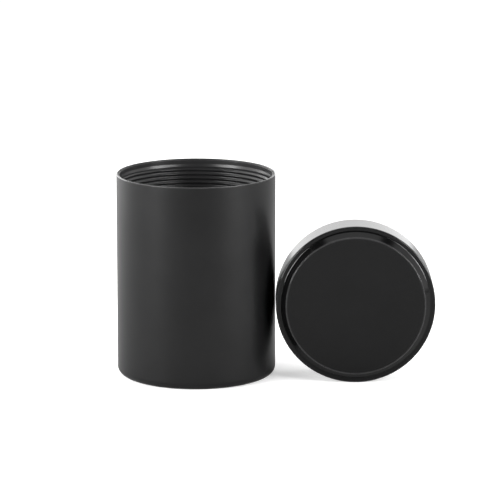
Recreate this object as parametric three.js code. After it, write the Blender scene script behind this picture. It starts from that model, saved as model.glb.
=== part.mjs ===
// A straight-sided screw-top tin, open, with its lid standing on edge beside it.
// Millimetres, +Z up. The origin is the middle of the tin's flat base, on the surface it stands on.
// The lid is drawn closed side up about its own axis, then turned so that its top faces -Y.
import * as THREE from 'three';

// Driving dimensions.
const SEGMENTS = 48;
const CAN_RADIUS = 42.5;
const CAN_HEIGHT = 109.2;
const SHEET = 0.8;
const FIT_GAP = 0.3;
const FACET_GAP = 0.05;

// Can body: rounded corner at the base, a rolled edge at the mouth.
const BASE_CORNER = 5.6;
const RIM_ROLL = 0.5;
const CORNER_STEPS = 5;

// Screw thread, rolled in thin sheet, one start, right hand.
const THREAD_PITCH = 2.35;
const THREAD_DEPTH = 0.6;
const ROWS_PER_PITCH = 4;

// Threaded sleeve fixed inside the mouth.
const NECK_CREST_RADIUS = 40.2;
const NECK_TOP_DROP = 0.6;
const NECK_LEAD_IN = 4.2;
const NECK_TURNS = 6;
const NECK_TAIL = 2.0;

// Lid: a drawn cap with a raised middle panel, and a threaded collar standing out of it.
const LID_RADIUS = 42.4;
const BAND_DEPTH = 20;
const LID_CORNER = 1;
const SHOULDER_RADIUS = 39.9;
const PANEL_RADIUS = 37;
const PANEL_RISE = 3;
const COLLAR_REACH = 11;
const COLLAR_CREST_RADIUS = NECK_CREST_RADIUS - FIT_GAP - FACET_GAP;
const COLLAR_TOP = 18.4;
const COLLAR_STEP_LOW = 0.6;
const COLLAR_STEP_HIGH = 1.6;
const COLLAR_TIP_PLAIN = 1.2;
const COLLAR_TURNS = 3.5;

// Sealing ring under the band, and the lining disc inside the cap.
const GASKET_OUTER = 42;
const GASKET_THICK = 0.8;
const GASKET_GAP = 0.25;
const LINER_RADIUS = 39.8;
const LINER_THICK = 1.5;

// Turns that close the lid. The lining disc lies that much travel short of its seat while the lid is off.
const CLOSING_TURNS = 4.5;
const CLOSING_TRAVEL = CLOSING_TURNS * THREAD_PITCH;
const LINER_LEVEL = BAND_DEPTH - SHEET - FIT_GAP - LINER_THICK - CLOSING_TRAVEL;

// Where the lid stands: beside the can, with its open edge this far in front of the can's middle.
const CAN_FLAT = CAN_RADIUS * Math.cos(Math.PI / SEGMENTS);
const SIDE_GAP = 0.15;
const LID_X = CAN_FLAT + SIDE_GAP + LID_RADIUS;
const LID_EDGE_Y = -4.5;

const black = (roughness, metalness) =>
  new THREE.MeshStandardMaterial({ color: 0x141415, roughness, metalness });

const FINISH = {
  coated: black(0.42, 0.1),
  lid: black(0.4, 0.1),
  thread: black(0.36, 0.15),
  gasket: new THREE.MeshStandardMaterial({ color: 0x1b1b1c, roughness: 0.75, metalness: 0 }),
  liner: new THREE.MeshStandardMaterial({ color: 0xe6e4df, roughness: 0.85, metalness: 0 }),
};

// A quarter turn of rounding, from one angle to the other, in degrees.
function arc(centreR, centreZ, radius, from, to) {
  const points = [];
  for (let i = 0; i <= CORNER_STEPS; i += 1) {
    const angle = THREE.MathUtils.degToRad(from + ((to - from) * i) / CORNER_STEPS);
    points.push([centreR + radius * Math.cos(angle), centreZ + radius * Math.sin(angle)]);
  }
  return points;
}

// Turns a profile of [radius, height] points about +Z. It runs up the outside and back down the inside.
function turned(profile) {
  const points = profile.map(([radius, height]) => new THREE.Vector2(radius, height));
  const geometry = new THREE.LatheGeometry(points, SEGMENTS);
  geometry.rotateX(Math.PI / 2);
  return geometry;
}

// Heights of the rows that carry a rolled thread, evenly spaced, lowest first.
function threadRows(low, turns) {
  const count = Math.round(turns * ROWS_PER_PITCH);
  return Array.from({ length: count + 1 }, (_, i) => low + (i * THREAD_PITCH) / ROWS_PER_PITCH);
}

// Rolls a right-hand wave into every point that isMarked picks, fading in and out over half a turn.
function rollThread(geometry, low, high, phase, isMarked) {
  const position = geometry.getAttribute('position');
  const fade = THREAD_PITCH / 2;
  for (let i = 0; i < position.count; i += 1) {
    const x = position.getX(i);
    const y = position.getY(i);
    const z = position.getZ(i);
    const radius = Math.hypot(x, y);
    const inside = Math.min(z - low, high - z) / fade;
    const depth = (THREAD_DEPTH / 2) * THREE.MathUtils.clamp(inside, 0, 1);
    if (depth > 0 && isMarked(radius)) {
      const turn = (2 * Math.PI * (z - phase)) / THREAD_PITCH - Math.atan2(y, x);
      const scale = (radius + depth * Math.cos(turn)) / radius;
      position.setXY(i, x * scale, y * scale);
    }
  }
  geometry.computeVertexNormals();
  return geometry;
}

function makeCanBody() {
  const wall = CAN_RADIUS - SHEET;
  const profile = [
    [0, 0],
    ...arc(CAN_RADIUS - BASE_CORNER, BASE_CORNER, BASE_CORNER, -90, 0),
    ...arc(CAN_RADIUS - RIM_ROLL, CAN_HEIGHT - RIM_ROLL, RIM_ROLL, 0, 90),
    [wall, CAN_HEIGHT],
    ...arc(wall - BASE_CORNER + SHEET, BASE_CORNER, BASE_CORNER - SHEET, 0, -90),
    [0, SHEET],
  ];
  return turned(profile);
}

function makeNeckRing() {
  const top = CAN_HEIGHT - NECK_TOP_DROP;
  const high = CAN_HEIGHT - NECK_LEAD_IN;
  const low = high - NECK_TURNS * THREAD_PITCH;
  const bottom = low - NECK_TAIL;
  const outer = CAN_RADIUS - SHEET - FIT_GAP;
  const middle = NECK_CREST_RADIUS + THREAD_DEPTH / 2;
  const rows = threadRows(low, NECK_TURNS).reverse();
  const profile = [
    [outer, bottom],
    [outer, top],
    [outer - SHEET / 2, top],
    ...rows.map((height) => [middle, height]),
    [middle, bottom],
    [outer, bottom],
  ];
  const marked = (radius) => radius < middle + THREAD_DEPTH / 4;
  return rollThread(turned(profile), low, high, high, marked);
}

function makeLidCap() {
  const bandInner = LID_RADIUS - SHEET;
  const panelTop = BAND_DEPTH + PANEL_RISE;
  const profile = [
    [bandInner, 0],
    [LID_RADIUS - SHEET / 4, 0],
    [LID_RADIUS, SHEET / 4],
    ...arc(LID_RADIUS - LID_CORNER, BAND_DEPTH - LID_CORNER, LID_CORNER, 0, 90),
    [SHOULDER_RADIUS, BAND_DEPTH],
    [PANEL_RADIUS, panelTop],
    [0, panelTop],
    [0, panelTop - SHEET],
    [PANEL_RADIUS - SHEET / 2, panelTop - SHEET],
    [SHOULDER_RADIUS - SHEET / 2, BAND_DEPTH - SHEET],
    ...arc(LID_RADIUS - LID_CORNER, BAND_DEPTH - LID_CORNER, LID_CORNER - SHEET, 90, 0),
    [bandInner, 0],
  ];
  return turned(outsideOf(profile));
}

// A profile that touches the axis starts and ends there instead of closing on itself.
function outsideOf(profile) {
  const onAxis = profile.findIndex(([radius]) => radius === 0);
  const closed = profile.slice(0, -1);
  return [...closed.slice(onAxis + 1), ...closed.slice(0, onAxis + 1)];
}

function makeThreadCollar() {
  const middle = COLLAR_CREST_RADIUS - THREAD_DEPTH / 2;
  const inner = middle - SHEET;
  const upperOuter = LID_RADIUS - SHEET - FIT_GAP;
  const upperInner = upperOuter - SHEET;
  const low = -COLLAR_REACH + COLLAR_TIP_PLAIN;
  const high = low + COLLAR_TURNS * THREAD_PITCH;
  const rows = threadRows(low, COLLAR_TURNS);
  const profile = [
    [inner, -COLLAR_REACH],
    [middle, -COLLAR_REACH],
    ...rows.map((height) => [middle, height]),
    [middle, COLLAR_STEP_LOW],
    [upperOuter, COLLAR_STEP_LOW],
    [upperOuter, COLLAR_TOP],
    [upperInner, COLLAR_TOP],
    [upperInner, COLLAR_STEP_HIGH],
    [inner, COLLAR_STEP_HIGH],
    ...rows.reverse().map((height) => [inner, height]),
    [inner, -COLLAR_REACH],
  ];
  const marked = (radius) => radius < middle + THREAD_DEPTH / 4;
  return rollThread(turned(profile), low, high, low, marked);
}

function makeGasketRing() {
  const inner = COLLAR_CREST_RADIUS + FIT_GAP;
  const low = -GASKET_GAP - GASKET_THICK;
  const high = -GASKET_GAP;
  return turned([
    [inner, low],
    [GASKET_OUTER, low],
    [GASKET_OUTER, high],
    [inner, high],
    [inner, low],
  ]);
}

function makeLinerDisc() {
  const top = LINER_LEVEL + LINER_THICK;
  return turned([
    [0, LINER_LEVEL],
    [LINER_RADIUS, LINER_LEVEL],
    [LINER_RADIUS, top],
    [0, top],
  ]);
}

function addPiece(parent, name, geometry, material) {
  const mesh = new THREE.Mesh(geometry, material.clone());
  mesh.name = name;
  parent.add(mesh);
}

// The can is turned by half a facet, so that one of its flats faces the lid.
function makeCan() {
  const can = new THREE.Group();
  can.rotation.z = Math.PI / SEGMENTS;
  addPiece(can, 'can_body', makeCanBody(), FINISH.coated);
  addPiece(can, 'neck_ring', makeNeckRing(), FINISH.thread);
  return can;
}

function makeLid() {
  const lid = new THREE.Group();
  lid.position.set(LID_X, LID_EDGE_Y, LID_RADIUS);
  lid.rotation.x = Math.PI / 2;
  addPiece(lid, 'lid_cap', makeLidCap(), FINISH.lid);
  addPiece(lid, 'thread_collar', makeThreadCollar(), FINISH.thread);
  addPiece(lid, 'gasket_ring', makeGasketRing(), FINISH.gasket);
  addPiece(lid, 'liner_disc', makeLinerDisc(), FINISH.liner);
  return lid;
}

const tin = new THREE.Group();
tin.add(makeCan());
tin.add(makeLid());

export default tin;
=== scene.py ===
"""A black screw-top tin, open, with its lid standing on edge beside it.

Each sub-assembly is a class that models its own pieces and dresses them. The tin's sizes are in millimetres
and become metres where a mesh is made, and the studio's are in metres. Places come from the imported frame.
"""

import logging
import math
from dataclasses import dataclass, field
from enum import Enum
from functools import cache

import bpy
from mathutils import Matrix, Vector


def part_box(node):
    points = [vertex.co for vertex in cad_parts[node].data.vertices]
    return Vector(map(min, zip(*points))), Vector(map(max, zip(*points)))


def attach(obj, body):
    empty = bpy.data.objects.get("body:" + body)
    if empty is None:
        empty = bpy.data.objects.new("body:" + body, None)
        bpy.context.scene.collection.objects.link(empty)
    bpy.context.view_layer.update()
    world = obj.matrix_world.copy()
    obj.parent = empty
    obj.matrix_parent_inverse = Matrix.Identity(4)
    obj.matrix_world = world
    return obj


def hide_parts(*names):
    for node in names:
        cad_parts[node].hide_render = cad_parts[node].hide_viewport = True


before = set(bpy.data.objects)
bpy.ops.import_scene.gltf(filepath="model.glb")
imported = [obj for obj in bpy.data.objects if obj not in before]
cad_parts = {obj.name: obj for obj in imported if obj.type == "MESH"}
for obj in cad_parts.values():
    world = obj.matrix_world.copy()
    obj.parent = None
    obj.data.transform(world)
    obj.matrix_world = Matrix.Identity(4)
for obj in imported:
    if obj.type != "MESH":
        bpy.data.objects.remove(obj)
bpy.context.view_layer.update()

MM = 0.001
FULL_TURN = 2.0 * math.pi

# How finely round shapes are drawn: steps in a full spin, and the turn of one step of an edge's rounding.
SPIN_STEPS = 192
ARC_STEP = math.radians(7.5)
# The largest share of a side that one rounding may take, so that two never meet.
SIDE_SHARE = 0.49
# Millimetres from a rounding to the points that support it, and how many times that a side must measure.
SUPPORT = 0.15
WEAR_REACH = 1.0
SUPPORT_ROOM = 4.0
# Points nearer each other than this, in metres, become one. Edges sharper than the angle stay sharp.
MERGE_DISTANCE = 0.000001
SMOOTH_ANGLE = math.radians(32.0)
WEAR_ATTRIBUTE = "edge_wear"
# Millimetres past a sheet's own radius that still take the thread.
ROLL_MARGIN = 0.05

# The middle part of a noise's range, where most of it lies, and a wider one.
CLOUDY = (0.3, 0.7)
CLOUDY_WIDE = (0.25, 0.75)
# The spot in the tin that the lights face, in metres.
AIM = (0.02, 0.0, 0.06)

LOG = logging.getLogger("candle_tin")

# A colour, a spot in metres, an outline's corner as (radius, height, rounding), and pairs of numbers.
Tone = tuple[float, float, float]
Place = tuple[float, float, float]
Corner = tuple[float, float, float]
Point = tuple[float, float]
Ring = tuple[float, float]
Span = tuple[float, float]
Socket = bpy.types.NodeSocket


class Side(Enum):
    """Which side of a sheet carries the ridges that meet the other thread."""

    INWARD = -1
    OUTWARD = 1


# ---------- Outlines ----------


def arc_points(before: Vector, corner: Vector, after: Vector, radius: float) -> list[Point]:
    """Rounds one corner of an outline.

    Args:
        before: the point ahead of the corner.
        corner: the sharp corner.
        after: the point past the corner.
        radius: the rounding, cut down where a side is too short for it.

    Returns:
        The points of the arc, from the side that comes in to the side that goes out.
    """
    into = (before - corner).normalized()
    out = (after - corner).normalized()
    half = into.angle(out) / 2.0
    reach = radius / math.tan(half)
    longest = SIDE_SHARE * min((before - corner).length, (after - corner).length)
    if reach > longest:
        radius *= longest / reach
        reach = longest
    centre = corner + (into + out).normalized() * (radius / math.sin(half))
    start = corner + into * reach - centre
    sweep = start.angle_signed(corner + out * reach - centre)
    steps = max(2, math.ceil(abs(sweep) / ARC_STEP))
    points = []
    for step in range(steps + 1):
        spoke = start.copy()
        spoke.rotate(Matrix.Rotation(-sweep * step / steps, 2))
        points.append(tuple(centre + spoke))
    return points


def with_support(arc: list[Point], before: Vector, after: Vector) -> list[Point]:
    """Adds points just ahead of an arc and just past it.

    The near ones keep the flats beside the arc flat in the light, and the far ones stop the rubbing of its
    edge from spreading over them.

    Args:
        arc: the points of one rounded corner.
        before: the corner ahead of it.
        after: the corner past it.

    Returns:
        The arc with its supports, each left out where the side is too short for it.
    """
    first, last = Vector(arc[0]), Vector(arc[-1])
    points = list(arc)
    for reach in (SUPPORT, WEAR_REACH):
        if (before - first).length > SUPPORT_ROOM * reach:
            points.insert(0, tuple(first + (before - first).normalized() * reach))
        if (after - last).length > SUPPORT_ROOM * reach:
            points.append(tuple(last + (after - last).normalized() * reach))
    return points


def rounded_outline(corners: list[Corner], closed: bool = True) -> list[Point]:
    """Turns corners, each with its own rounding, into the points of an outline.

    Args:
        corners: (radius from the axis, height, rounding) of each corner.
        closed: whether the outline comes back to its first corner.

    Returns:
        The outline's (radius, height) points, the first one repeated at the end of a closed outline.
    """
    spots = [Vector((r, z)) for r, z, _ in corners]
    points: list[Point] = []
    for i, (r, z, rounding) in enumerate(corners):
        at_end = not closed and i in (0, len(corners) - 1)
        if rounding <= 0.0 or at_end:
            points.append((r, z))
        else:
            before, after = spots[i - 1], spots[(i + 1) % len(spots)]
            arc = arc_points(before, spots[i], after, rounding)
            points += with_support(arc, before, after)
    if closed:
        points.append(points[0])
    return points


def even_heights(low: float, high: float, spacing: float) -> list[float]:
    """Spaces heights evenly between two levels.

    Args:
        low: the lower level.
        high: the upper level.
        spacing: about how far apart the heights are.

    Returns:
        The heights, both levels left out.
    """
    count = max(1, round((high - low) / spacing))
    return [low + (high - low) * i / count for i in range(1, count)]


# ---------- Modelling ----------


def clear_selection() -> None:
    """Leaves nothing selected, so that an operator acts on the new piece alone."""
    if bpy.context.mode != "OBJECT":
        bpy.ops.object.mode_set(mode="OBJECT")
    bpy.ops.object.select_all(action="DESELECT")


def select_only(piece: bpy.types.Object) -> None:
    """Selects one piece and makes it active.

    Args:
        piece: the piece that the next operator acts on.
    """
    clear_selection()
    piece.select_set(True)
    bpy.context.view_layer.objects.active = piece


def turn_on_lathe(name: str, outline: list[Point]) -> bpy.types.Object:
    """Draws an outline by extruding one point along it, and spins it about +Z.

    Args:
        name: the piece's name.
        outline: (radius, height) points in millimetres.

    Returns:
        The piece, one closed skin with its faces outward.
    """
    clear_selection()
    first_r, first_z = outline[0]
    start = (first_r * MM, 0.0, first_z * MM)
    bpy.ops.mesh.primitive_circle_add(vertices=3, radius=MM, location=start)
    piece = bpy.context.object
    piece.name = name
    piece.data.name = name
    bpy.ops.object.transform_apply(location=True, rotation=True, scale=True)
    bpy.ops.object.mode_set(mode="EDIT")
    bpy.ops.mesh.select_all(action="SELECT")
    bpy.ops.mesh.merge(type="CENTER")
    bpy.ops.mesh.select_all(action="SELECT")
    for (r0, z0), (r1, z1) in zip(outline, outline[1:]):
        step = ((r1 - r0) * MM, 0.0, (z1 - z0) * MM)
        bpy.ops.mesh.extrude_region_move(TRANSFORM_OT_translate={"value": step})
    bpy.ops.mesh.select_all(action="SELECT")
    bpy.ops.mesh.remove_doubles(threshold=MERGE_DISTANCE)
    bpy.ops.mesh.select_all(action="SELECT")
    bpy.ops.mesh.spin(steps=SPIN_STEPS, angle=FULL_TURN, center=(0.0, 0.0, 0.0), axis=(0.0, 0.0, 1.0))
    bpy.ops.mesh.select_all(action="SELECT")
    bpy.ops.mesh.remove_doubles(threshold=MERGE_DISTANCE)
    bpy.ops.mesh.normals_make_consistent(inside=False)
    bpy.ops.object.mode_set(mode="OBJECT")
    return piece


def mark_wear(piece: bpy.types.Object, rings: list[Ring], width: float) -> None:
    """Writes how near each vertex is to the edges that rub, for the finishes to read.

    Args:
        piece: a piece still standing on its own axis.
        rings: (radius, height) of each edge, in millimetres.
        width: how far the rubbing spreads from an edge, in millimetres.
    """
    layer = piece.data.attributes.new(WEAR_ATTRIBUTE, "FLOAT", "POINT")
    for vertex in piece.data.vertices:
        radius = math.hypot(vertex.co.x, vertex.co.y) / MM
        height = vertex.co.z / MM
        nearest = min(math.hypot(radius - r, height - z) for r, z in rings)
        layer.data[vertex.index].value = max(0.0, 1.0 - nearest / width)


def smooth(piece: bpy.types.Object) -> None:
    """Shades a piece smooth, apart from its sharp edges.

    Args:
        piece: the finished mesh.
    """
    select_only(piece)
    bpy.ops.object.shade_smooth_by_angle(angle=SMOOTH_ANGLE)


@dataclass(frozen=True)
class Thread:
    """One rolled right-hand thread in thin sheet.

    Args:
        pitch: rise in one turn.
        height: from the bottom of a groove to the top of a ridge.
        rows: rows of points in one pitch.
        fade: turns over which the ridge grows from nothing at each end.
        breadth: how broad a ridge is; at 2 it is as broad as a groove, and below that it is narrower.
    """

    pitch: float = 2.35
    height: float = 0.6
    rows: int = 14
    fade: float = 0.5
    breadth: float = 1.5

    @property
    def spacing(self) -> float:
        """The height between two rows of points."""
        return self.pitch / self.rows

    def wave(self, turn: float) -> float:
        """Works out the rolled shape: a round ridge and a broader round groove.

        Args:
            turn: the angle through one pitch, 0 at a ridge's top.

        Returns:
            The height, from -1 in a groove to 1 on a ridge.
        """
        return 1.0 - 2.0 * abs(math.sin(turn / 2.0)) ** self.breadth

    def roll(self, piece: bpy.types.Object, low: float, high: float, reach: float, side: Side) -> None:
        """Rolls the ridges into the part of a piece that lies inside a radius.

        Args:
            piece: a piece that stands on its own axis, with rows of points at this thread's spacing.
            low: where the thread starts.
            high: where it ends.
            reach: only points nearer the axis than this move.
            side: the side on which a ridge stands out.
        """
        for vertex in piece.data.vertices:
            radius = math.hypot(vertex.co.x, vertex.co.y) / MM
            height = vertex.co.z / MM
            if radius > reach or not low < height < high:
                continue
            inside = min(height - low, high - height) / (self.fade * self.pitch)
            turn = FULL_TURN * (height - low) / self.pitch - math.atan2(vertex.co.y, vertex.co.x)
            depth = 0.5 * self.height * min(1.0, inside) * side.value * self.wave(turn)
            scale = (radius + depth) / radius
            vertex.co.x *= scale
            vertex.co.y *= scale


# ---------- Shared effects ----------


class Effects:
    """Builds each shared node group once and hands out the same one after that."""

    # The slow waves under the coat's pebbles: their share of the pebbles' fineness, and of their height.
    PEEL_SCALE = 0.16
    PEEL_HEIGHT = 0.55
    # A dust speck's rim, as distances from the middle of its cell: full inside, none outside.
    SPECK = (0.03, 0.1)
    # Drifts in a metre, and the part of their noise over which dust comes in.
    DRIFTS = 38.0
    DRIFT = (0.52, 0.72)

    @staticmethod
    def _begin(name: str, inputs: dict[str, float], outputs: list[str]) -> bpy.types.NodeTree:
        """Makes an empty group.

        Args:
            name: the group's name.
            inputs: each value input with its default, after a first input named Vector.
            outputs: the value outputs.

        Returns:
            The group, with its input and output nodes placed.
        """
        tree = bpy.data.node_groups.new(name, "ShaderNodeTree")
        tree.interface.new_socket(name="Vector", in_out="INPUT", socket_type="NodeSocketVector")
        for label, default in inputs.items():
            socket = tree.interface.new_socket(name=label, in_out="INPUT", socket_type="NodeSocketFloat")
            socket.default_value = default
        for label in outputs:
            tree.interface.new_socket(name=label, in_out="OUTPUT", socket_type="NodeSocketFloat")
        tree.nodes.new("NodeGroupInput").name = "In"
        tree.nodes.new("NodeGroupOutput").name = "Out"
        return tree

    @cache
    def grain(self) -> bpy.types.NodeTree:
        """Returns the coating's grain: fine pebbles as a height, and a slow cloudiness as a tone."""
        tree = self._begin("Coating_Grain", {"Fine": 5200.0, "Slow": 55.0}, ["Height", "Cloud"])
        nodes = Wiring(tree)
        source = tree.nodes["In"].outputs
        pebbles = nodes.noise(source["Vector"], source["Fine"], detail=3.0, roughness=0.62)
        peel_scale = nodes.math("MULTIPLY", source["Fine"], self.PEEL_SCALE)
        peel = nodes.noise(source["Vector"], peel_scale, detail=1.0, roughness=0.4)
        peel_part = nodes.math("MULTIPLY", peel, self.PEEL_HEIGHT)
        height = nodes.math("ADD", pebbles, peel_part)
        cloud = nodes.noise(source["Vector"], source["Slow"], detail=4.0, roughness=0.55)
        nodes.link(height, tree.nodes["Out"].inputs["Height"])
        nodes.link(cloud, tree.nodes["Out"].inputs["Cloud"])
        return tree

    @cache
    def edge_rub(self) -> bpy.types.NodeTree:
        """Returns the rubbing along edges: the marked edges broken up by noise, as a mask."""
        tree = self._begin("Edge_Rub", {"Edge": 0.0, "Scale": 700.0, "Bite": 0.62}, ["Mask"])
        nodes = Wiring(tree)
        source = tree.nodes["In"].outputs
        breakup = nodes.noise(source["Vector"], source["Scale"], detail=5.0, roughness=0.7)
        worn = nodes.math("ADD", source["Edge"], breakup)
        past = nodes.math("SUBTRACT", worn, source["Bite"])
        mask = nodes.math("MULTIPLY", past, source["Edge"], clamp=True)
        nodes.link(mask, tree.nodes["Out"].inputs["Mask"])
        return tree

    @cache
    def dust(self) -> bpy.types.NodeTree:
        """Returns sparse pale specks, thicker in some places than in others, as a mask."""
        tree = self._begin("Dust_Specks", {"Scale": 420.0, "Amount": 0.2}, ["Mask"])
        nodes = Wiring(tree)
        source = tree.nodes["In"].outputs
        cells = tree.nodes.new("ShaderNodeTexVoronoi")
        cells.feature = "F1"
        nodes.link(source["Vector"], cells.inputs["Vector"])
        nodes.link(source["Scale"], cells.inputs["Scale"])
        near = nodes.ramp(cells.outputs["Distance"], *self.SPECK, low=1.0, high=0.0)
        chance = nodes.noise(source["Vector"], self.DRIFTS, detail=2.0, roughness=0.6)
        lying = nodes.ramp(chance, *self.DRIFT, low=0.0, high=1.0)
        specks = nodes.math("MULTIPLY", near, lying)
        mask = nodes.math("MULTIPLY", specks, source["Amount"], clamp=True)
        nodes.link(mask, tree.nodes["Out"].inputs["Mask"])
        return tree


class Wiring:
    """Short ways to place and join nodes in one tree."""

    def __init__(self, tree: bpy.types.NodeTree) -> None:
        """Keeps the tree that nodes are placed in."""
        self.tree = tree

    def link(self, source: Socket | float, target: Socket) -> None:
        """Joins a socket to an input, or sets the input to a number.

        Args:
            source: the socket or the number.
            target: the input.
        """
        if isinstance(source, Socket):
            self.tree.links.new(source, target)
        else:
            target.default_value = source

    def noise(self, vector: Socket, scale: Socket | float, detail: float, roughness: float) -> Socket:
        """Places a noise texture.

        Args:
            vector: where it is sampled.
            scale: how many of its features lie in a metre.
            detail: how many finer layers it has.
            roughness: how strong the finer layers are.

        Returns:
            Its value.
        """
        node = self.tree.nodes.new("ShaderNodeTexNoise")
        self.link(vector, node.inputs["Vector"])
        self.link(scale, node.inputs["Scale"])
        node.inputs["Detail"].default_value = detail
        node.inputs["Roughness"].default_value = roughness
        return node.outputs["Fac"]

    def math(
        self, operation: str, first: Socket | float, second: Socket | float, clamp: bool = False
    ) -> Socket:
        """Places a sum on two values.

        Args:
            operation: the sum's name.
            first: its first value.
            second: its second value.
            clamp: whether the result is kept between 0 and 1.

        Returns:
            The result.
        """
        node = self.tree.nodes.new("ShaderNodeMath")
        node.operation = operation
        node.use_clamp = clamp
        self.link(first, node.inputs[0])
        self.link(second, node.inputs[1])
        return node.outputs[0]

    def ramp(self, value: Socket, start: float, end: float, low: float, high: float) -> Socket:
        """Rescales a value from one range to another, held at both ends.

        Args:
            value: the value.
            start: where its range starts.
            end: where its range ends.
            low: the result at the start.
            high: the result at the end.

        Returns:
            The rescaled value.
        """
        node = self.tree.nodes.new("ShaderNodeMapRange")
        self.link(value, node.inputs["Value"])
        for label, number in (("From Min", start), ("From Max", end), ("To Min", low), ("To Max", high)):
            node.inputs[label].default_value = number
        return node.outputs["Result"]

    def mix(self, amount: Socket, first: Socket | Tone, second: Socket | Tone) -> Socket:
        """Blends two colours.

        Args:
            amount: how much of the second shows.
            first: the first colour.
            second: the second colour.

        Returns:
            The blend.
        """
        node = self.tree.nodes.new("ShaderNodeMix")
        node.data_type = "RGBA"
        self.link(amount, node.inputs["Factor"])
        for value, label in ((first, "A"), (second, "B")):
            target = next(s for s in node.inputs if s.name == label and s.type == "RGBA")
            if isinstance(value, tuple):
                target.default_value = (*value, 1.0)
            else:
                self.link(value, target)
        return next(s for s in node.outputs if s.type == "RGBA")

    def vary(self, cloud: Socket, middle: float, spread: float) -> Socket:
        """Lets a value stray as a cloudiness does.

        Args:
            cloud: the cloudiness, from 0 to 1.
            middle: the value's middle.
            spread: how far it strays either way.

        Returns:
            The value.
        """
        stray = self.ramp(cloud, *CLOUDY_WIDE, low=-spread, high=spread)
        return self.math("ADD", stray, middle)

    def surface(
        self,
        shader: bpy.types.Node,
        tone: Socket,
        roughness: Socket,
        height: Socket,
        strength: float,
        depth: float,
    ) -> None:
        """Gives a shader its tone, its roughness and its fine relief.

        Args:
            shader: the shader to feed.
            tone: the surface's colour.
            roughness: its roughness.
            height: the relief, from 0 to about 1.
            strength: how strongly the relief shows.
            depth: the relief's real height, in millimetres.
        """
        bump = self.tree.nodes.new("ShaderNodeBump")
        bump.inputs["Strength"].default_value = strength
        bump.inputs["Distance"].default_value = depth * MM
        self.link(height, bump.inputs["Height"])
        self.link(tone, shader.inputs["Base Color"])
        self.link(roughness, shader.inputs["Roughness"])
        self.link(bump.outputs["Normal"], shader.inputs["Normal"])

    def group(self, tree: bpy.types.NodeTree, vector: Socket, **values: Socket | float) -> bpy.types.Node:
        """Places a shared group.

        Args:
            tree: the group.
            vector: where it is sampled.
            values: numbers or sockets for its other inputs, by name.

        Returns:
            Its node.
        """
        node = self.tree.nodes.new("ShaderNodeGroup")
        node.node_tree = tree
        self.link(vector, node.inputs["Vector"])
        for label, value in values.items():
            self.link(value, node.inputs[label])
        return node


EFFECTS = Effects()


# ---------- Finishes ----------


def new_material(name: str) -> tuple[Wiring, bpy.types.Node, Socket, bpy.types.Material]:
    """Starts a material.

    Args:
        name: the material's name.

    Returns:
        Its wiring, its shader, the object coordinates, and the material.
    """
    material = bpy.data.materials.new(name)
    material.use_nodes = True
    wiring = Wiring(material.node_tree)
    shader = material.node_tree.nodes["Principled BSDF"]
    place = material.node_tree.nodes.new("ShaderNodeTexCoord").outputs["Object"]
    return wiring, shader, place, material


@dataclass(frozen=True)
class CoatedMetal:
    """Aluminium sheet under a satin matte coat, with a fine grain and edges rubbed a little paler.

    Args:
        name: the finish's name.
        deep: the coat's darker tone.
        pale: its lighter tone, where the coat is thinner.
        rubbed: the tone along rubbed edges.
        roughness: the coat's roughness at its middle.
        ior: the coat's index of refraction.
        spread: how far the roughness strays either way.
        polish: how much smoother a rubbed edge is.
        depth: height of the grain, in millimetres.
        strength: how strongly the grain shows.
        rub: how strongly edges are rubbed.
        dust: how much dust lies on it.
        dust_tone: the dust's colour.
    """

    name: str
    deep: Tone = (0.0042, 0.0042, 0.0044)
    pale: Tone = (0.0058, 0.0058, 0.0060)
    rubbed: Tone = (0.055, 0.055, 0.056)
    roughness: float = 0.31
    ior: float = 1.4
    spread: float = 0.012
    polish: float = 0.12
    depth: float = 0.012
    strength: float = 0.35
    rub: float = 1.0
    dust: float = 0.05
    dust_tone: Tone = (0.25, 0.245, 0.235)

    def make(self) -> bpy.types.Material:
        """Builds the material.

        Returns:
            The finished material.
        """
        wiring, shader, place, material = new_material(self.name)
        grain = wiring.group(EFFECTS.grain(), place)
        edge = material.node_tree.nodes.new("ShaderNodeAttribute")
        edge.attribute_name = WEAR_ATTRIBUTE
        rub = wiring.group(EFFECTS.edge_rub(), place, Edge=edge.outputs["Fac"])
        dust = wiring.group(EFFECTS.dust(), place, Amount=self.dust)
        cloud = wiring.ramp(grain.outputs["Cloud"], *CLOUDY, low=0.0, high=1.0)
        coat = wiring.mix(cloud, self.deep, self.pale)
        worn_part = wiring.math("MULTIPLY", rub.outputs["Mask"], self.rub, clamp=True)
        worn = wiring.mix(worn_part, coat, self.rubbed)
        dusty = wiring.mix(dust.outputs["Mask"], worn, self.dust_tone)
        rough = wiring.vary(grain.outputs["Cloud"], self.roughness, self.spread)
        polished = wiring.math("MULTIPLY", worn_part, self.polish)
        final_rough = wiring.math("SUBTRACT", rough, polished)
        wiring.surface(shader, dusty, final_rough, grain.outputs["Height"], self.strength, self.depth)
        shader.inputs["IOR"].default_value = self.ior
        return material


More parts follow.
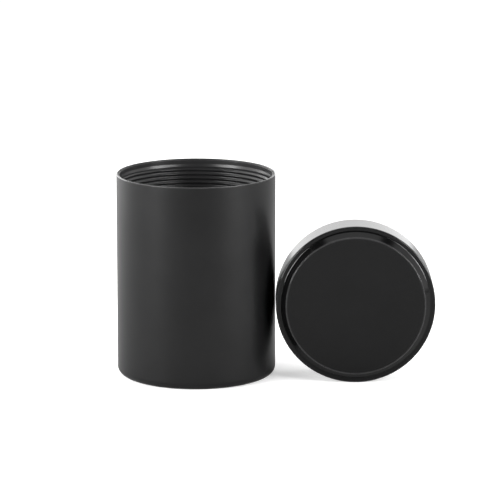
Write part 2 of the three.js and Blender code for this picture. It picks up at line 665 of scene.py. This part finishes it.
@dataclass(frozen=True)
class Rubber:
    """Soft black sealing rubber, matte, faintly mottled.

    Args:
        name: the finish's name.
        dark: the darker tone.
        light: the lighter tone.
        dust_tone: the colour of the dust on it.
        roughness: its roughness.
        spread: how far the roughness strays either way.
        ior: its index of refraction.
        depth: height of its grain, in millimetres.
        strength: how strongly the grain shows.
    """

    name: str = "Sealing_Rubber"
    dark: Tone = (0.010, 0.010, 0.011)
    light: Tone = (0.022, 0.022, 0.023)
    dust_tone: Tone = (0.3, 0.29, 0.28)
    roughness: float = 0.74
    spread: float = 0.06
    ior: float = 1.48
    depth: float = 0.03
    strength: float = 0.5

    def make(self) -> bpy.types.Material:
        """Builds the material.

        Returns:
            The finished material.
        """
        wiring, shader, place, material = new_material(self.name)
        grain = wiring.group(EFFECTS.grain(), place, Fine=3400.0, Slow=160.0)
        dust = wiring.group(EFFECTS.dust(), place, Scale=600.0, Amount=0.3)
        cloud = wiring.ramp(grain.outputs["Cloud"], *CLOUDY, low=0.0, high=1.0)
        tone = wiring.mix(cloud, self.dark, self.light)
        dusty = wiring.mix(dust.outputs["Mask"], tone, self.dust_tone)
        rough = wiring.vary(grain.outputs["Cloud"], self.roughness, self.spread)
        wiring.surface(shader, dusty, rough, grain.outputs["Height"], self.strength, self.depth)
        shader.inputs["IOR"].default_value = self.ior
        return material


@dataclass(frozen=True)
class Foam:
    """White closed-cell foam, with pores about a millimetre across, each painted darker inside as shade.

    Args:
        name: the finish's name.
        pore_shade: the darker tone inside a pore, painted shade where the pore dips in.
        skin: the tone between pores.
        aged: the warmer tone of its cloudy patches.
        clouding: how strong the patches are.
        pores: pores in a metre.
        wall: a pore's wall, as distances from the middle of its cell.
        roughness: the roughness of its skin.
        hollow_roughness: the roughness inside a pore.
        fine: how high the grain between pores is, as a share of a pore's depth.
        depth: depth of a pore, in millimetres.
        strength: how strongly the pores show.
    """

    name: str = "Lining_Foam"
    pore_shade: Tone = (0.52, 0.51, 0.48)
    skin: Tone = (0.80, 0.79, 0.76)
    aged: Tone = (0.66, 0.64, 0.59)
    clouding: float = 0.35
    pores: float = 1150.0
    wall: Span = (0.05, 0.55)
    roughness: float = 0.8
    hollow_roughness: float = 0.9
    fine: float = 0.25
    depth: float = 0.12
    strength: float = 0.7

    def make(self) -> bpy.types.Material:
        """Builds the material.

        Returns:
            The finished material.
        """
        wiring, shader, place, material = new_material(self.name)
        grain = wiring.group(EFFECTS.grain(), place, Fine=2600.0, Slow=90.0)
        cells = material.node_tree.nodes.new("ShaderNodeTexVoronoi")
        cells.feature = "SMOOTH_F1"
        cells.inputs["Scale"].default_value = self.pores
        wiring.link(place, cells.inputs["Vector"])
        dome = wiring.ramp(cells.outputs["Distance"], *self.wall, low=0.0, high=1.0)
        # Painted shade: the inside of each pore is coloured darker than the foam's white skin.
        tone = wiring.mix(dome, self.pore_shade, self.skin)
        shade = wiring.ramp(grain.outputs["Cloud"], *CLOUDY, low=0.0, high=self.clouding)
        clouded = wiring.mix(shade, tone, self.aged)
        rough = wiring.ramp(dome, 0.0, 1.0, low=self.hollow_roughness, high=self.roughness)
        fine = wiring.math("MULTIPLY", grain.outputs["Height"], self.fine)
        height = wiring.math("ADD", dome, fine)
        wiring.surface(shader, clouded, rough, height, self.strength, self.depth)
        return material


def dress(piece: bpy.types.Object, material: bpy.types.Material, body: str, node: str) -> None:
    """Gives a piece its finish and its place in the frame.

    Args:
        piece: the finished mesh.
        material: its finish.
        body: the body that it moves with.
        node: the plain solid that it stands for.
    """
    piece.data.materials.clear()
    piece.data.materials.append(material)
    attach(piece, body)
    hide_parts(node)
    LOG.info("%s: %d faces, stands for %s on %s", piece.name, len(piece.data.polygons), node, body)


# ---------- The can ----------


@dataclass
class CanAssembly:
    """The drawn can and the threaded sleeve inside its mouth.

    Args:
        radius: outside of the wall.
        height: base to mouth.
        sheet: wall thickness.
        base_corner: rounding where wall and base meet.
        rim_roll: rounding of the mouth's edge.
        base_groove: radius of the shallow stiffening groove pressed into the base.
        groove_reach: half its width.
        groove_depth: its depth.
        crest_radius: the sleeve's ridges reach in this far.
        top_drop: how far the sleeve's top edge lies under the mouth.
        lead_in: smooth length above the ridges.
        funnel: the lower part of that length, where it narrows down to the ridges.
        foot: how far the funnel's foot stands back from the middle of the ridges' height.
        turns: turns of thread.
        tail: smooth length under the ridges.
        gap: the space between the wall and the sleeve.
        wear: how far the rubbing spreads from the can's edges.
        thread_wear: how far it spreads from the sleeve's.
        thread: the ridges' shape.
    """

    radius: float = 42.5
    height: float = 109.2
    sheet: float = 0.8
    base_corner: float = 5.6
    rim_roll: float = 0.39
    base_groove: float = 33.0
    groove_reach: float = 1.2
    groove_depth: float = 0.35
    crest_radius: float = 40.2
    top_drop: float = 0.5
    lead_in: float = 4.2
    funnel: float = 1.4
    foot: float = 0.1
    turns: float = 6.0
    tail: float = 2.0
    gap: float = 0.3
    wear: float = 1.1
    thread_wear: float = 0.8
    thread: Thread = field(default_factory=Thread)

    def model_body(self) -> bpy.types.Object:
        """Turns the can: wall, rounded corner, base with its shallow groove, and the rolled mouth edge.

        Returns:
            The can's mesh.
        """
        inner = self.radius - self.sheet
        groove, reach, depth = self.base_groove, self.groove_reach, self.groove_depth
        corners = [
            (0.0, 0.0, 0.0),
            (groove - reach, 0.0, 0.5),
            (groove - reach / 2.0, depth, 0.4),
            (groove + reach / 2.0, depth, 0.4),
            (groove + reach, 0.0, 0.5),
            (self.radius, 0.0, self.base_corner),
            (self.radius, self.height, self.rim_roll),
            (inner, self.height, self.rim_roll),
            (inner, self.sheet, self.base_corner - self.sheet),
            (0.0, self.sheet, 0.0),
        ]
        piece = turn_on_lathe("Can_Body", rounded_outline(corners, closed=False))
        mark_wear(piece, [(self.radius - self.sheet / 2.0, self.height), (groove, 0.0)], self.wear)
        smooth(piece)
        return piece

    def model_neck(self) -> bpy.types.Object:
        """Turns the sleeve and rolls the thread into its inner wall.

        Returns:
            The sleeve's mesh.
        """
        high = self.height - self.lead_in
        low = high - self.turns * self.thread.pitch
        middle = self.crest_radius + self.thread.height / 2.0
        outer = self.radius - self.sheet - self.gap
        rows = even_heights(low, high, self.thread.spacing)
        outline = rounded_outline(
            [
                (middle, low - self.tail, 0.2),
                (outer, low - self.tail, 0.2),
                (outer, self.height - self.top_drop, 0.2),
                (outer - self.sheet / 2.0, self.height - self.top_drop, 0.2),
                (outer - self.sheet / 2.0, high + self.funnel, 1.5),
                (middle + self.foot, high, 0.3),
            ],
            closed=True,
        )
        body, closing = outline[:-1], outline[-1]
        outline = [*body, *[(middle, z) for z in reversed(rows)], closing]
        piece = turn_on_lathe("Neck_Ring", outline)
        self.thread.roll(piece, low, high, middle + ROLL_MARGIN, Side.INWARD)
        mark_wear(piece, [(outer - self.sheet * 0.3, self.height - self.top_drop)], self.thread_wear)
        smooth(piece)
        return piece

    def build(self, coat: bpy.types.Material, lit_thread_coat: bpy.types.Material) -> None:
        """Models and dresses the can and its sleeve.

        Args:
            coat: the can's finish.
            lit_thread_coat: the sleeve's black coat in paler tones, painted light for the shaded inside of
                the mouth.
        """
        dress(self.model_body(), coat, "can", "can_body")
        dress(self.model_neck(), lit_thread_coat, "can", "neck_ring")


# ---------- The lid ----------


@dataclass
class LidAssembly:
    """The cap, its threaded collar, the sealing ring and the lining disc.

    Every piece is turned about +Z with the band's open edge at height 0, and then stood on edge.

    Args:
        radius: outside of the band.
        band: from the open edge to the flat ring around the panel.
        sheet: sheet thickness.
        corner: rounding between band and top, outside.
        inner_corner: the same, inside the sheet.
        shoulder: radius where the step up to the panel starts.
        panel: radius where it ends.
        rise: height of the step.
        collar_reach: how far the collar stands out of the band.
        crest_radius: the collar's ridges reach out this far.
        turns: turns of thread on the collar.
        tip: smooth length at the collar's end.
        seat: height where the outline of the collar's outside ends and that of its top begins.
        collar_top: the collar's upper edge, inside the band.
        step_low: height where the collar's outside steps out to meet the band.
        step_high: height where its inside does.
        gap: the space between parts that are put together.
        gasket_outer: outside of the sealing ring.
        liner_radius: outside of the lining disc.
        press_inset: how far in from the disc's edge the mouth has pressed its ring.
        press_reach: half the width of that ring.
        press_floor: half the width of its floor.
        press_depth: its depth.
        bead_width: half the width of the bead on the sealing ring's face.
        bead_depth: its height.
        wear: how far the rubbing spreads from the cap's edges.
        thread_wear: how far it spreads from the collar's.
        thread: the ridges' shape.
    """

    radius: float = 42.4
    band: float = 20.0
    sheet: float = 0.8
    corner: float = 0.8
    inner_corner: float = 0.7
    shoulder: float = 39.9
    panel: float = 37.0
    rise: float = 3.0
    collar_reach: float = 11.0
    crest_radius: float = 39.85
    turns: float = 3.5
    tip: float = 1.2
    seat: float = 5.0
    collar_top: float = 18.4
    step_low: float = 0.6
    step_high: float = 1.6
    gap: float = 0.3
    gasket_outer: float = 42.0
    liner_radius: float = 39.8
    press_inset: float = 3.6
    press_reach: float = 1.0
    press_floor: float = 0.3
    press_depth: float = 0.25
    bead_width: float = 0.35
    bead_depth: float = 0.16
    wear: float = 0.9
    thread_wear: float = 0.8
    thread: Thread = field(default_factory=Thread)

    def place(self) -> tuple[Vector, float]:
        """Finds where the lid stands.

        Returns:
            The middle of the band's open edge, and the height of the lining disc's lower face over it.
        """
        low, high = (Vector(c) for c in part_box("lid_cap"))
        edge = Vector(((low.x + high.x) / 2.0, high.y, (low.z + high.z) / 2.0))
        _, liner_high = (Vector(c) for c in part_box("liner_disc"))
        return edge, (edge.y - liner_high.y) / MM

    def stand_on_edge(self, piece: bpy.types.Object, edge: Vector) -> None:
        """Turns a piece so that the lid's top faces -Y, and moves it to the lid's place, in its mesh.

        Args:
            piece: a piece that stands on its own axis.
            edge: the middle of the band's open edge.
        """
        select_only(piece)
        piece.rotation_euler = (math.radians(90.0), 0.0, 0.0)
        piece.location = edge
        bpy.ops.object.transform_apply(location=True, rotation=True, scale=True)

    def model_cap(self) -> bpy.types.Object:
        """Turns the cap: straight band, rounded corner, flat ring, step, and the raised panel.

        Returns:
            The cap's mesh.
        """
        inner = self.radius - self.sheet
        top = self.band + self.rise
        corners = [
            (0.0, top, 0.0),
            (self.panel, top, 0.35),
            (self.shoulder, self.band, 1.3),
            (self.radius, self.band, self.corner),
            (self.radius, 0.0, 0.25),
            (inner, 0.0, 0.2),
            (inner, self.band - self.sheet, self.inner_corner),
            (self.shoulder - self.sheet / 2.0, self.band - self.sheet, 0.5),
            (self.panel - self.sheet / 2.0, top - self.sheet, 0.5),
            (0.0, top - self.sheet, 0.0),
        ]
        piece = turn_on_lathe("Lid_Cap", rounded_outline(corners, closed=False))
        # Each ring of wear lies a little inside its edge.
        edges = [(self.panel, top), (self.radius - 0.5, self.band - 0.5), (self.radius - 0.2, 0.0)]
        mark_wear(piece, edges, self.wear)
        smooth(piece)
        return piece

    def model_collar(self) -> bpy.types.Object:
        """Turns the collar and rolls its thread, which shows on both sides of the sheet.

        Returns:
            The collar's mesh.
        """
        middle = self.crest_radius - self.thread.height / 2.0
        inner = middle - self.sheet
        outer = self.radius - self.sheet - self.gap
        upper_inner = outer - self.sheet
        low = -self.collar_reach + self.tip
        high = low + self.turns * self.thread.pitch
        rows = even_heights(low, high, self.thread.spacing)
        outside = rounded_outline(
            [
                (middle, high, 0.0),
                (middle, self.step_low, 0.3),
                (outer, self.step_low, 0.5),
                (outer, self.seat, 0.0),
            ],
            closed=False,
        )
        top = rounded_outline(
            [
                (outer, self.seat, 0.0),
                (outer, self.collar_top, 0.2),
                (upper_inner, self.collar_top, 0.2),
                (upper_inner, self.step_high, 0.4),
                (inner, self.step_high, 0.5),
                (inner, high, 0.0),
            ],
            closed=False,
        )
        end = rounded_outline(
            [
                (inner, low, 0.0),
                (inner, -self.collar_reach, 0.3),
                (middle, -self.collar_reach, 0.3),
                (middle, low, 0.0),
            ],
            closed=False,
        )
        outline = [
            *end,
            *[(middle, z) for z in rows],
            *outside,
            *top[1:],
            *[(inner, z) for z in reversed(rows)],
            end[0],
        ]
        piece = turn_on_lathe("Thread_Collar", outline)
        self.thread.roll(piece, low, high, middle + ROLL_MARGIN, Side.OUTWARD)
        mark_wear(piece, [(middle - 0.3, -self.collar_reach), (outer, self.collar_top)], self.thread_wear)
        smooth(piece)
        return piece

    def model_gasket(self, low: float, high: float) -> bpy.types.Object:
        """Turns the sealing ring, with rounded edges and a shallow bead around its face.

        Args:
            low: its lower face.
            high: its upper face.

        Returns:
            The ring's mesh.
        """
        inner = self.crest_radius + self.gap
        middle = (inner + self.gasket_outer) / 2.0
        corners = [
            (inner, low, 0.2),
            (middle - self.bead_width, low, 0.12),
            (middle, low + self.bead_depth, 0.15),
            (middle + self.bead_width, low, 0.12),
            (self.gasket_outer, low, 0.25),
            (self.gasket_outer, high, 0.25),
            (inner, high, 0.2),
        ]
        piece = turn_on_lathe("Gasket_Ring", rounded_outline(corners))
        smooth(piece)
        return piece

    def model_liner(self, low: float) -> bpy.types.Object:
        """Turns the lining disc, its edge soft and its face pressed in a shallow ring by the tin's mouth.

        Args:
            low: the height of its lower face.

        Returns:
            The disc's mesh.
        """
        low_corner, high_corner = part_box("liner_disc")
        thick = (high_corner[1] - low_corner[1]) / MM
        press = self.liner_radius - self.press_inset
        corners = [
            (0.0, low, 0.0),
            (press - self.press_reach, low, 0.6),
            (press - self.press_floor, low + self.press_depth, 0.4),
            (press + self.press_floor, low + self.press_depth, 0.4),
            (press + self.press_reach, low, 0.6),
            (self.liner_radius, low, 0.5),
            (self.liner_radius, low + thick, 0.35),
            (0.0, low + thick, 0.0),
        ]
        piece = turn_on_lathe("Liner_Disc", rounded_outline(corners, closed=False))
        smooth(piece)
        return piece

    def build(self, coat: bpy.types.Material, lit_thread_coat: bpy.types.Material) -> None:
        """Models the lid's pieces, stands them on edge and dresses them.

        Args:
            coat: the cap's finish.
            lit_thread_coat: the collar's black coat, in the same paler tones painted in as light for the
                shaded mouth.
        """
        edge, liner_low = self.place()
        ring_low, ring_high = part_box("gasket_ring")
        gasket = self.model_gasket((edge.y - ring_high[1]) / MM, (edge.y - ring_low[1]) / MM)
        pieces = [
            (self.model_cap(), coat, "lid", "lid_cap", "lid"),
            (self.model_collar(), lit_thread_coat, "lid", "thread_collar", "thread"),
            (gasket, Rubber().make(), "seal", "gasket_ring", "gasket"),
            (self.model_liner(liner_low), Foam().make(), "liner", "liner_disc", "liner"),
        ]
        for piece, material, body, node, slot in pieces:
            self.stand_on_edge(piece, edge)
            dress(piece, material, body, node)


# ---------- The studio ----------


@dataclass(frozen=True)
class Softbox:
    """One soft light that faces the tin.

    Args:
        name: the light's name.
        bearing: degrees from the camera's side of the tin, positive towards +X.
        distance: metres from the tin.
        height: metres over the floor.
        size: width and height in metres.
        power: watts.
    """

    name: str
    bearing: float
    distance: float
    height: float
    size: tuple[float, float]
    power: float

    def hang(self) -> None:
        """Adds the light, aimed at the middle of the tin."""
        clear_selection()
        angle = math.radians(self.bearing)
        spot = Vector((math.sin(angle) * self.distance, -math.cos(angle) * self.distance, self.height))
        bpy.ops.object.light_add(type="AREA", location=spot)
        lamp = bpy.context.object
        lamp.name = self.name
        lamp.data.shape = "RECTANGLE"
        lamp.data.size, lamp.data.size_y = self.size
        lamp.data.energy = self.power
        aim = Vector(AIM) - spot
        lamp.rotation_euler = aim.to_track_quat("-Z", "Y").to_euler()


@dataclass
class Studio:
    """A pale floor, a white surround, soft lights and the camera.

    Args:
        camera_place: the camera, in metres.
        camera_pitch: degrees that the camera looks below level.
        lens: its focal length, in millimetres.
        sensor: width of its sensor, in millimetres.
        far: metres that it sees.
        floor_size: side of the floor, in metres.
        floor_drop: how far the floor lies under the tin's base, in millimetres.
        floor_tones: the floor's darker and lighter tones.
        floor_clouds: changes between them in a metre.
        floor_roughness: the floor's roughness.
        floor_glow: how much the floor glows where the camera sees it.
        floor_bounce: the tone of the floor as the tin sees it, darker than it looks.
        front_light: how bright the room is on the camera's side, as a share of the rest.
        back_light: how bright it is low down behind the tin.
        top_light: how bright it is overhead.
        sides: the part of a direction's Y over which the room brightens, from the camera's side to behind.
        rise: the part of its Z over which the room changes from low down to overhead.
        room_shown: how bright the room looks behind the floor.
    """

    camera_place: Place = (0.02887, -1.7293, 0.4385)
    camera_pitch: float = 12.124
    lens: float = 237.38
    sensor: float = 36.0
    far: float = 50.0
    floor_size: float = 2.6
    floor_drop: float = 0.02
    floor_tones: tuple[Tone, Tone] = ((0.78, 0.78, 0.78), (0.82, 0.82, 0.82))
    floor_clouds: float = 3.0
    floor_roughness: float = 0.9
    floor_glow: float = 0.4
    floor_bounce: Tone = (0.4, 0.4, 0.4)
    front_light: float = 0.0
    back_light: float = 2.0
    top_light: float = 0.9
    sides: Span = (-0.1, 0.9)
    rise: Span = (0.25, 0.8)
    room_shown: float = 1.05

    def place_camera(self) -> None:
        """Adds the camera and makes it the scene's."""
        clear_selection()
        bpy.ops.object.camera_add(location=self.camera_place)
        camera = bpy.context.object
        camera.rotation_euler = (math.radians(90.0 - self.camera_pitch), 0.0, 0.0)
        camera.data.lens = self.lens
        camera.data.sensor_width = self.sensor
        camera.data.clip_end = self.far
        bpy.context.scene.camera = camera

    def lay_floor(self) -> None:
        """Lays a pale matte floor, a hair under the tin's base."""
        clear_selection()
        under = (0.0, 0.0, -self.floor_drop * MM)
        bpy.ops.mesh.primitive_plane_add(size=self.floor_size, location=under)
        floor = bpy.context.object
        floor.name = "Floor"
        wiring, shader, place, material = new_material("Pale_Floor")
        cloud = wiring.noise(place, self.floor_clouds, detail=2.0, roughness=0.5)
        tone = wiring.mix(cloud, *self.floor_tones)
        straight = material.node_tree.nodes.new("ShaderNodeLightPath").outputs["Is Camera Ray"]
        shown = wiring.mix(straight, self.floor_bounce, tone)
        wiring.link(shown, shader.inputs["Base Color"])
        shader.inputs["Roughness"].default_value = self.floor_roughness
        shader.inputs["Specular IOR Level"].default_value = 0.0
        shader.inputs["Emission Color"].default_value = (1.0, 1.0, 1.0, 1.0)
        glow = wiring.math("MULTIPLY", straight, self.floor_glow)
        wiring.link(glow, shader.inputs["Emission Strength"])
        floor.data.materials.append(material)

    def paint_room(self) -> None:
        """Makes the room white: even where the camera sees it, and dark in front where the tin does."""
        world = bpy.data.worlds.new("Room")
        bpy.context.scene.world = world
        world.use_nodes = True
        tree = world.node_tree
        wiring = Wiring(tree)
        direction = tree.nodes.new("ShaderNodeTexCoord").outputs["Generated"]
        parts = tree.nodes.new("ShaderNodeSeparateXYZ")
        wiring.link(direction, parts.inputs[0])
        turned = wiring.ramp(parts.outputs["Y"], *self.sides, low=self.front_light, high=1.0)
        raised = wiring.ramp(parts.outputs["Z"], *self.rise, low=self.back_light, high=self.top_light)
        seen = wiring.math("MULTIPLY", turned, raised)
        straight = tree.nodes.new("ShaderNodeLightPath").outputs["Is Camera Ray"]
        strength = tree.nodes.new("ShaderNodeMix")
        strength.data_type = "FLOAT"
        wiring.link(straight, strength.inputs["Factor"])
        wiring.link(seen, strength.inputs["A"])
        strength.inputs["B"].default_value = self.room_shown
        background = tree.nodes["Background"]
        background.inputs["Color"].default_value = (1.0, 1.0, 1.0, 1.0)
        wiring.link(strength.outputs["Result"], background.inputs["Strength"])

    def build(self) -> None:
        """Sets up the floor, room, lights and camera."""
        self.place_camera()
        self.lay_floor()
        self.paint_room()
        for box in (
            Softbox("Left_Strip", -57.0, 1.2, 0.38, (0.40, 0.42), 15.0),
            Softbox("Right_Strip", 61.0, 1.2, 0.38, (0.44, 0.42), 14.0),
            Softbox("Left_Lamp", -41.0, 1.2, 0.62, (0.22, 0.22), 4.6),
            Softbox("Right_Lamp", 41.0, 1.2, 0.62, (0.22, 0.22), 4.8),
            Softbox("Left_Softbox", -100.0, 1.2, 0.6, (1.1, 1.2), 14.0),
            Softbox("Rear_Softbox", -135.0, 1.2, 0.24, (0.8, 0.44), 10.0),
            Softbox("Right_Softbox", 97.0, 1.2, 0.6, (1.1, 1.2), 5.0),
            Softbox("Overhead_Softbox", 180.0, 0.2, 1.5, (1.6, 1.6), 10.0),
        ):
            box.hang()
        bpy.context.scene.view_settings.view_transform = "Standard"


# ---------- The scene ----------


def main() -> None:
    """Builds the studio and the tin."""
    logging.basicConfig(level=logging.INFO, format="%(name)s %(message)s")
    Studio().build()
    coat = CoatedMetal("Satin_Black_Coat").make()
    lid_coat = CoatedMetal(
        "Satin_Black_Coat_Lid",
        deep=(0.002, 0.002, 0.0021),
        pale=(0.003, 0.003, 0.0031),
        ior=1.36,
        roughness=0.16,
        rub=0.8,
    ).make()
    # The sleeve and collar take the black coat in paler tones: painted light that brightens the shaded
    # inside of the mouth.
    lit_thread_coat = CoatedMetal(
        "Satin_Black_Thread_Lit",
        deep=(0.012, 0.012, 0.0125),
        pale=(0.017, 0.017, 0.0175),
        ior=1.36,
        roughness=0.32,
        rub=0.7,
    ).make()
    CanAssembly().build(coat, lit_thread_coat)
    LidAssembly().build(lid_coat, lit_thread_coat)


if __name__ == "__main__":
    main()
